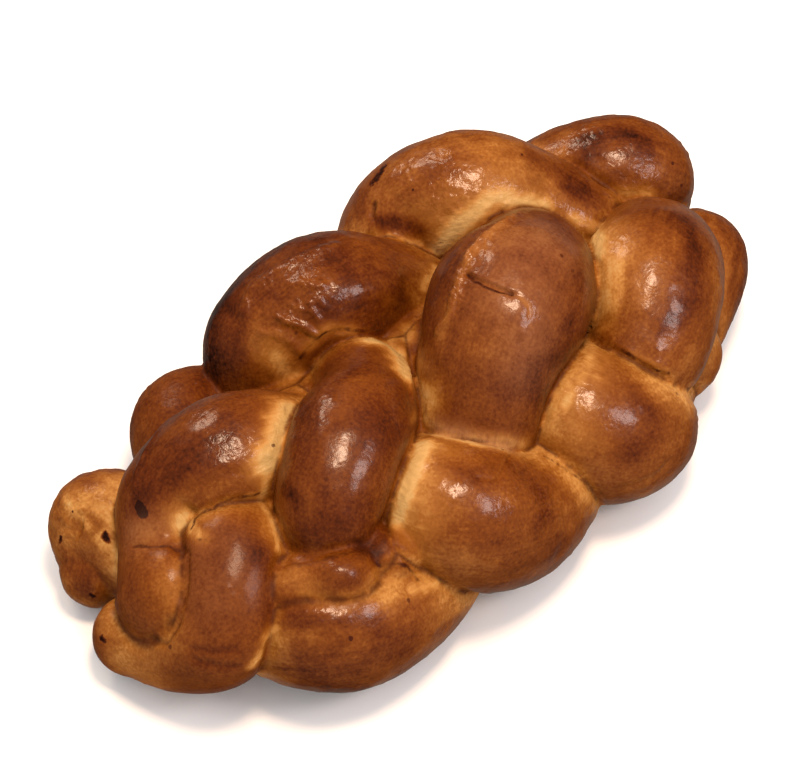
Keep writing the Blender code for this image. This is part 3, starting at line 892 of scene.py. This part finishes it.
def cloud(tree, seed, wide, detail=2.0, vector=None, **more):
    """Noise from about -0.5 to 0.5 whose clumps are this wide, in metres."""
    feeds = {"W": seed, "Scale": 1 / wide, "Detail": detail, **more}
    if vector is not None:
        feeds["Vector"] = vector
    noise = add(tree, "ShaderNodeTexNoise", feeds, noise_dimensions="4D")
    return sums(tree, "SUBTRACT", noise.outputs[0], 0.5)


def ramp(tree, value, low, high, bottom=0.0, top=1.0):
    """A smooth step of a socket, from bottom at low to top at high."""
    feeds = {"Value": value, 1: low, 2: high, 3: bottom, 4: top}
    return add(tree, "ShaderNodeMapRange", feeds, interpolation_type="SMOOTHSTEP").outputs[0]


seed = size["Seed"]
place = add(relief, "GeometryNodeInputPosition").outputs[0]
lumps = sums(relief, "MULTIPLY", cloud(relief, seed, 0.035, 2.5, place), size["Lump height"])
dents = sums(relief, "MULTIPLY", cloud(relief, seed, 0.008, 2.0, place), size["Dent height"])
dents = sums(relief, "MULTIPLY", dents, fact(relief, "lively"))
bends = sums(relief, "ABSOLUTE", cloud(relief, seed, 0.008, 1.5, place, Distortion=1.2))
wrinkles = sums(relief, "MULTIPLY", ramp(relief, bends, 0.07, 0.0), fact(relief, "crumpled"))
wrinkles = sums(relief, "MULTIPLY", wrinkles, size["Wrinkle height"])
cells = add(relief, "ShaderNodeTexVoronoi", {"Vector": place, "Scale": 1 / 0.0045}, feature="F1")
domes = ramp(relief, cells.outputs["Distance"], 0.45, 0.0)
chosen = add(relief, "ShaderNodeSeparateXYZ", {"Vector": cells.outputs["Color"]}).outputs[0]
patches = ramp(relief, cloud(relief, seed, 0.03, 1.0, place), 0.02, 0.14)
blisters = sums(relief, "MULTIPLY", domes, sums(relief, "MULTIPLY", ramp(relief, chosen, 0.55, 0.75), patches))
blisters = sums(relief, "MULTIPLY", blisters, size["Blister height"])
near = sums(relief, "DIVIDE", fact(relief, "gap"), size["Groove width"])
groove = sums(relief, "EXPONENT", sums(relief, "MULTIPLY", sums(relief, "MULTIPLY", near, near), -1.0))
broken = ramp(relief, cloud(relief, seed, 0.016, 1.0, place), -0.12, 0.1, 0.15, 1.0)
filled = ramp(relief, fact(relief, "web"), 0.9, 0.3)
groove = sums(relief, "MULTIPLY", sums(relief, "MULTIPLY", groove, broken), filled)
groove = sums(relief, "MULTIPLY", groove, size["Groove depth"])
stretched = add(relief, "ShaderNodeVectorMath", {
    0: fact(relief, "grain", "FLOAT_VECTOR"), 1: (0.15, 1.0, 0.0)}, operation="MULTIPLY").outputs[0]
marks = cloud(relief, seed, 0.0025, 2.0, stretched)
dive = sums(relief, "MULTIPLY", ramp(relief, fact(relief, "gap"), 0.014, 0.001), fact(relief, "under"))
marks = sums(relief, "MULTIPLY", sums(relief, "MULTIPLY", marks, dive), size["Stretch height"])
marks = sums(relief, "MULTIPLY", marks, ramp(relief, fact(relief, "matte"), 0.5, 0.1))
height = sums(relief, "ADD", sums(relief, "ADD", lumps, dents), sums(relief, "ADD", blisters, marks))
height = sums(relief, "ADD", height, wrinkles)
height = sums(relief, "SUBTRACT", height, groove)
height = sums(relief, "MULTIPLY", height, ramp(relief, fact(relief, "sole"), 1.0, 0.0))
normal = add(relief, "GeometryNodeInputNormal").outputs[0]
push = add(relief, "ShaderNodeVectorMath", {0: normal, "Scale": height}, operation="SCALE").outputs[0]
moved = add(relief, "GeometryNodeSetPosition", {"Geometry": size["Geometry"], "Offset": push})
end_tree(relief, moved.outputs[0], size["Material"])

MOST_FACETS = 190_000
run_tree(loaf, relief, Material=crust, Seed=3.0, **{
    "Lump height": 0.0026, "Dent height": 0.0009, "Blister height": 0.0004, "Wrinkle height": 0.0006,
    "Groove depth": 0.0014, "Groove width": 0.0022, "Stretch height": 0.0005})
thin = loaf.modifiers.new("thin", "DECIMATE")
thin.ratio = MOST_FACETS / (2 * len(fused.polygons))
finished = baked(loaf)
loaf.modifiers.clear()
loaf.data = finished
finished.shade_smooth()
print("finished loaf:", len(finished.polygons), "facets")

# %% [markdown]
# ## The crust's colour and gloss
#
# Egg wash bakes to a thin varnish over brown crust, so the material is a matte brown base under a clear
# coat. One number, the bake, runs from bare dough to burnt. It starts as the stored shade, and patterns
# break it up: cloudy mottles, blotches, fine speckle, and faint streaks that follow the way the rope was
# rolled. Where the dough was stretched bare, the bake is taken away again.

# %% Crust colours
LIT = 1.8


def crust_colour(red, green, blue):
    """The shader's colour for a crust that shows as this on a screen, 0 to 255, under the scene's light."""
    shares = (c / 255 for c in (red, green, blue))
    return (*(((s + 0.055) / 1.055) ** 2.4 / LIT for s in shares), 1.0)


# bake, and how the crust looks there
BAKE_COLOURS = (
    (0.0, crust_colour(242, 190, 116)),
    (0.2, crust_colour(222, 154, 76)),
    (0.4, crust_colour(178, 107, 36)),
    (0.6, crust_colour(142, 73, 13)),
    (0.8, crust_colour(106, 45, 3)),
    (1.0, crust_colour(46, 15, 4)),
)
crust.use_nodes = True
finish = crust.node_tree
shader = finish.nodes["Principled BSDF"]


def painted(name, part="Fac"):
    """A stored fact, in the material."""
    return add(finish, "ShaderNodeAttribute", attribute_name=name).outputs[part]


spot = add(finish, "ShaderNodeTexCoord").outputs["Object"]
grain = painted("grain", "Vector")


def streaks(seed, wide, long, detail=3.0):
    """Noise drawn out along the rope."""
    drawn = add(finish, "ShaderNodeVectorMath", {0: grain, 1: (wide / long, 1.0, 1.0)}, operation="MULTIPLY")
    return cloud(finish, seed, wide, detail, drawn.outputs[0])


mottle = cloud(finish, 1.0, 0.020, 5.0, spot, Distortion=0.6)
blotches = cloud(finish, 14.0, 0.0060, 3.0, spot, Distortion=0.5)
speckle = cloud(finish, 5.0, 0.0013, 4.0, spot)
fine = streaks(9.0, 0.0010, 0.006)
broad = streaks(4.0, 0.006, 0.030)
long_streaks = streaks(21.0, 0.0022, 0.016)
uneven = 0.0
for pattern, amount in ((mottle, 0.40), (blotches, 0.24), (fine, 0.10), (broad, 0.14), (long_streaks, 0.16)):
    uneven = sums(finish, "MULTIPLY_ADD", pattern, amount, uneven)
bake = sums(finish, "MULTIPLY_ADD", uneven, painted("lively"), painted("shade"))
bake = sums(finish, "MULTIPLY_ADD", speckle, 0.42, bake)

# %% Bare dough and scorches
web = painted("web")
edge = sums(finish, "MULTIPLY_ADD", mottle, 0.012, sums(finish, "MULTIPLY_ADD", broad, 0.010, painted("gap")))
dived = sums(finish, "MULTIPLY", ramp(finish, edge, 0.015, 0.0), painted("under"))
dived = sums(finish, "MULTIPLY", dived, ramp(finish, painted("matte"), 0.5, 0.0))
lifted = sums(finish, "MULTIPLY", ramp(finish, edge, 0.004, 0.0), 0.22)
paler = sums(finish, "MAXIMUM", sums(finish, "MULTIPLY", dived, 0.5), lifted)
drawn = web
for pattern, amount in ((mottle, 0.9), (blotches, 0.9), (speckle, 0.4), (fine, 0.4), (long_streaks, 0.5), (broad, 0.4)):
    drawn = sums(finish, "MULTIPLY_ADD", pattern, sums(finish, "MULTIPLY", ramp(finish, web, 0.0, 0.5), amount), drawn)
paler = sums(finish, "MAXIMUM", paler, ramp(finish, drawn, 0.0, 1.2))
bake = sums(finish, "SUBTRACT", bake, sums(finish, "MULTIPLY", paler, 0.72))
scorch = ramp(finish, sums(finish, "MULTIPLY_ADD", speckle, 0.8, painted("burnt")), 0.2, 0.95)
bake = sums(finish, "MAXIMUM", bake, scorch, clamp=True)
colours = add(finish, "ShaderNodeValToRGB", {0: bake})
for _ in BAKE_COLOURS[2:]:
    colours.color_ramp.elements.new(0.5)
for stop, (position, colour) in zip(colours.color_ramp.elements, BAKE_COLOURS):
    stop.position = position
    stop.color = colour


def blend(colour, other, share):
    """The first colour with this share of the other laid over it."""
    node = add(finish, "ShaderNodeMix", {"Factor": share, 6: colour, 7: other}, data_type="RGBA")
    return node.outputs[2]


# %% Olive tinge, freckles and cracks
FRECKLES_APART = 0.0055
SHAKEN = 0.0012

olive = ramp(finish, sums(finish, "MULTIPLY_ADD", cloud(finish, 11.0, 0.006, 3.0, spot), 0.9, web), 0.75, 1.3, 0.0, 0.35)
crust_now = blend(colours.outputs[0], crust_colour(188, 154, 92), olive)
# painted sheen: a greyish brown laid over the crust along the grey-and-sheen lines; on the highest lobe it stands for
# the soft reflection of the lamps, elsewhere it greys the crust
grey_and_sheen_share = sums(finish, "MULTIPLY_ADD", speckle, -1.2, ramp(finish, uneven, -0.12, 0.12, 1.2, 0.6))
grey_and_sheen_share = sums(finish, "MULTIPLY", painted("grey_and_sheen"), grey_and_sheen_share, clamp=True)
crust_now = blend(crust_now, crust_colour(156, 104, 76), grey_and_sheen_share)
shaking = add(finish, "ShaderNodeTexNoise", {"Vector": spot, "Scale": 1 / 0.003}).outputs[1]
shaken = add(finish, "ShaderNodeVectorMath", {0: shaking, 1: (SHAKEN,) * 3, 2: spot}, operation="MULTIPLY_ADD")
dots = add(finish, "ShaderNodeTexVoronoi", {"Vector": shaken.outputs[0], "Scale": 1 / FRECKLES_APART}, feature="F1")
picked = add(finish, "ShaderNodeSeparateColor", {"Color": dots.outputs["Color"]})
spread = sums(finish, "MULTIPLY", picked.outputs[1], 0.16)
freckle = ramp(finish, sums(finish, "SUBTRACT", dots.outputs["Distance"], spread), 0.06, -0.02)
freckle = sums(finish, "MULTIPLY", freckle, ramp(finish, picked.outputs[0], 0.80, 0.86))
freckle = sums(finish, "MULTIPLY", freckle, ramp(finish, cloud(finish, 12.0, 0.03, 1.0, spot), -0.04, 0.1, 0.15, 1.0))
crust_now = blend(crust_now, crust_colour(84, 32, 8), freckle)
wander = cloud(finish, 15.0, 0.0040, 2.0, spot)
# painted shade: a thin dark line along the bottom of every crease, where two lobes meet, broken by noise
line = sums(finish, "DIVIDE", sums(finish, "MULTIPLY_ADD", wander, 0.0012, painted("gap")), 0.0011)
line = sums(finish, "EXPONENT", sums(finish, "MULTIPLY", sums(finish, "MULTIPLY", line, line), -1.0))
line = sums(finish, "MULTIPLY", line, ramp(finish, cloud(finish, 6.0, 0.009, 2.0, spot), -0.12, 0.06))
dashes = ramp(finish, cloud(finish, 16.0, 0.0045, 3.0, spot), -0.14, 0.14, 0.3, 1.0)
# the dark lines of the cracks, and painted shade along creases, seams and the hole under the long lobe
tear = sums(finish, "MULTIPLY_ADD", wander, 2.4, painted("dark_line_away"))
tear = sums(finish, "MULTIPLY", ramp(finish, tear, 1.8, 0.3), painted("dark"))
line = sums(finish, "MAXIMUM", sums(finish, "MULTIPLY", line, 0.72), sums(finish, "MULTIPLY", tear, dashes), clamp=True)
# the dark brown laid over along the painted crease shade and along the crack lines
crust_now = blend(crust_now, crust_colour(76, 30, 8), line)
finish.links.new(crust_now, shader.inputs["Base Color"])

# %% Gloss
pores = cloud(finish, 2.0, 0.0011, 3.0, spot)
crinkle = cloud(finish, 7.0, 0.0030, 3.0, spot, Distortion=0.8)
patchy = ramp(finish, cloud(finish, 8.0, 0.022, 1.0, spot), 0.02, 0.18)
dry = sums(finish, "MAXIMUM", ramp(finish, painted("gap"), 0.0030, 0.0008), ramp(finish, painted("hollow"), 0.00008, 0.0003))
dry = sums(finish, "MAXIMUM", dry, ramp(finish, painted("dark_line_away"), 3.0, 1.2))
crinkled = sums(finish, "MULTIPLY_ADD", patchy, 0.0003, sums(finish, "MULTIPLY_ADD", painted("crumpled"), 0.0004, 0.00013))
crinkle = sums(finish, "MULTIPLY", crinkle, sums(finish, "MULTIPLY", crinkled, painted("lively")))
wrinkle = sums(finish, "MULTIPLY", streaks(3.0, 0.0016, 0.008), sums(finish, "MULTIPLY", ramp(finish, paler, 0.2, 0.9), 0.00035))
bumps = sums(finish, "MULTIPLY_ADD", pores, 0.00006, sums(finish, "ADD", crinkle, wrinkle))
bumps = sums(finish, "MULTIPLY", bumps, sums(finish, "SUBTRACT", 1.0, dry))
bump = add(finish, "ShaderNodeBump", {"Height": bumps, "Distance": 1.0, "Strength": 1.0})
finish.links.new(bump.outputs[0], shader.inputs["Normal"])
finish.links.new(bump.outputs[0], shader.inputs["Coat Normal"])
finish.links.new(ramp(finish, bake, 0.2, 0.6, 0.6, 0.45), shader.inputs["Roughness"])
glaze = sums(finish, "MULTIPLY", ramp(finish, bake, 0.05, 0.45, 0.2, 0.6), sums(finish, "SUBTRACT", 1.0, dry))
glaze = sums(finish, "MULTIPLY", glaze, painted("glossy"))
finish.links.new(glaze, shader.inputs["Coat Weight"])
shader.inputs["Specular IOR Level"].default_value = 0.08
shader.inputs["Coat Roughness"].default_value = 0.22
print("crust made of", len(finish.nodes), "nodes")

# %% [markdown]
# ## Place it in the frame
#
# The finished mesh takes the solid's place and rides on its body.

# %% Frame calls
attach(loaf, "root")
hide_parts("loaf")

# %% [markdown]
# ## Floor and light
#
# The highlights in the photo tell where its lights were: a warm one nearly overhead, a paler one at the
# right in front, and a weaker one behind. A bright even surround fills the rest and whitens the floor. The
# egg wash mirrors the lamps but hardly the floor and the surround, or the dark crust would look dusty. Only
# at a glancing view does it mirror the white sweep beyond the loaf, which draws a pale rim round the lobes.

# %% Floor and lamps
floor_mesh = bpy.data.meshes.new("floor")
floor_mesh.from_pydata([(-4, -4, 0), (4, -4, 0), (4, 4, 0), (-4, 4, 0)], [], [(0, 1, 2, 3)])
floor = put("floor", floor_mesh)
floor.location.z = -0.0002
floor.visible_glossy = False
pale = bpy.data.materials.new("floor")
pale.use_nodes = True
pale.node_tree.nodes["Principled BSDF"].inputs["Base Color"].default_value = (0.92, 0.92, 0.92, 1)
pale.node_tree.nodes["Principled BSDF"].inputs["Roughness"].default_value = 0.9
pale.node_tree.nodes["Principled BSDF"].inputs["Specular IOR Level"].default_value = 0.0
floor_mesh.materials.append(pale)

# the white sweep that only the glaze mirrors: how far beyond the loaf, its half width and its brightness
SWEEP_BEYOND = 0.6
SWEEP_REACH = 0.6
SWEEP_BRIGHT = 0.22

sweep_mesh = bpy.data.meshes.new("sweep")
corners = [(-SWEEP_REACH, -SWEEP_REACH, 0), (SWEEP_REACH, -SWEEP_REACH, 0),
           (SWEEP_REACH, SWEEP_REACH, 0), (-SWEEP_REACH, SWEEP_REACH, 0)]
sweep_mesh.from_pydata(corners, [], [(0, 1, 2, 3)])
glowing = bpy.data.materials.new("sweep")
glowing.use_nodes = True
glowing.node_tree.nodes["Principled BSDF"].inputs["Base Color"].default_value = (0, 0, 0, 1)
glowing.node_tree.nodes["Principled BSDF"].inputs["Emission Color"].default_value = (1.0, 0.88, 0.75, 1)
glowing.node_tree.nodes["Principled BSDF"].inputs["Emission Strength"].default_value = SWEEP_BRIGHT
sweep_mesh.materials.append(glowing)
sweep = bpy.data.objects.new("sweep", sweep_mesh)
stand_back(sweep, LOOKED_AT, CAMERA_AZIMUTH + math.pi, -CAMERA_ELEVATION, SWEEP_BEYOND)
sweep.visible_camera = False
sweep.visible_diffuse = False
sweep.visible_shadow = False

# azimuth and elevation in degrees, distance and width in metres, power in watts, colour
LAMPS = {
    "overhead": (10, 83, 1.3, 0.30, 15.0, (1.0, 0.70, 0.48)),
    "front": (26, 43, 1.3, 0.36, 5.5, (1.0, 0.84, 0.79)),
    "behind": (175, 38, 1.3, 0.30, 5.0, (1.0, 0.74, 0.54)),
}
for name, (azimuth, elevation, distance, wide, power, colour) in LAMPS.items():
    lamp = bpy.data.lights.new(name, "AREA")
    lamp.size = wide
    lamp.energy = power
    lamp.color = colour
    towards = (math.radians(azimuth), math.radians(elevation))
    stand_back(bpy.data.objects.new(name, lamp), Vector((0, 0, 0.05)), *towards, distance)
sky = bpy.data.worlds.new("surround")
sky.use_nodes = True
sky.node_tree.nodes["Background"].inputs["Color"].default_value = (1, 1, 1, 1)
sky.node_tree.nodes["Background"].inputs["Strength"].default_value = 1.0
sky.cycles_visibility.glossy = False
bpy.context.scene.world = sky
bpy.context.scene.view_settings.view_transform = "Standard"
